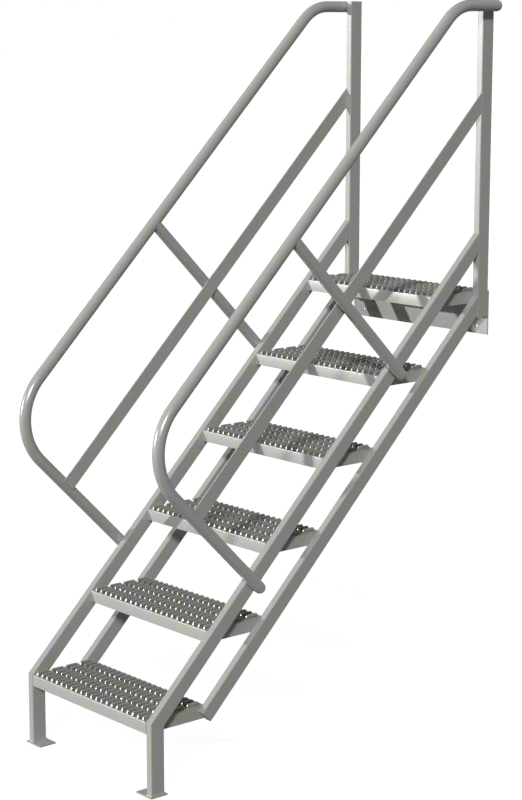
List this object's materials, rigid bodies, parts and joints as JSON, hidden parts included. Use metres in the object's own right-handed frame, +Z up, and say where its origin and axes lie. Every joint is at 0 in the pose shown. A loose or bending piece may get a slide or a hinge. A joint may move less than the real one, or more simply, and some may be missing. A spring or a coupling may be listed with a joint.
{
  "type": "stairway ladder",
  "caption": "Fixed steel stairway ladder with pierced non-slip plank treads, twin stringers and bent tube handrails.",
  "frame": {"origin": "centre of the back plate's rear face, which lies flat against the edge of the landing", "axes": "+Y the way people climb, out of the back plate's rear face into the landing; +Z up; +X to the right when climbing"},
  "size_m": [0.7366, 1.4732, 2.4167],
  "materials": {
    "grey_paint": "satin"
  },
  "bodies": {
    "root": {"back_plate": "grey_paint", "foot_plate_left": "grey_paint", "foot_plate_right": "grey_paint", "handrail_bottom_cap_left": "grey_paint", "handrail_bottom_cap_right": "grey_paint", "handrail_left": "grey_paint", "handrail_right": "grey_paint", "handrail_strut_left": "grey_paint", "handrail_strut_right": "grey_paint", "handrail_top_cap_left": "grey_paint", "handrail_top_cap_right": "grey_paint", "leg_left": "grey_paint", "leg_right": "grey_paint", "lower_stringer_left": "grey_paint", "lower_stringer_right": "grey_paint", "mid_rail_left": "grey_paint", "mid_rail_right": "grey_paint", "post_cap_left": "grey_paint", "post_cap_right": "grey_paint", "strut_cap_left": "grey_paint", "strut_cap_right": "grey_paint", "top_post_left": "grey_paint", "top_post_right": "grey_paint", "tread_1": "grey_paint", "tread_1_left_end": "grey_paint", "tread_1_right_end": "grey_paint", "tread_2": "grey_paint", "tread_2_left_end": "grey_paint", "tread_2_right_end": "grey_paint", "tread_3": "grey_paint", "tread_3_left_end": "grey_paint", "tread_3_right_end": "grey_paint", "tread_4": "grey_paint", "tread_4_left_end": "grey_paint", "tread_4_right_end": "grey_paint", "tread_5": "grey_paint", "tread_5_left_end": "grey_paint", "tread_5_right_end": "grey_paint", "tread_6": "grey_paint", "tread_6_left_end": "grey_paint", "tread_6_right_end": "grey_paint", "upper_stringer_left": "grey_paint", "upper_stringer_right": "grey_paint"}
  },
  "joints": []
}
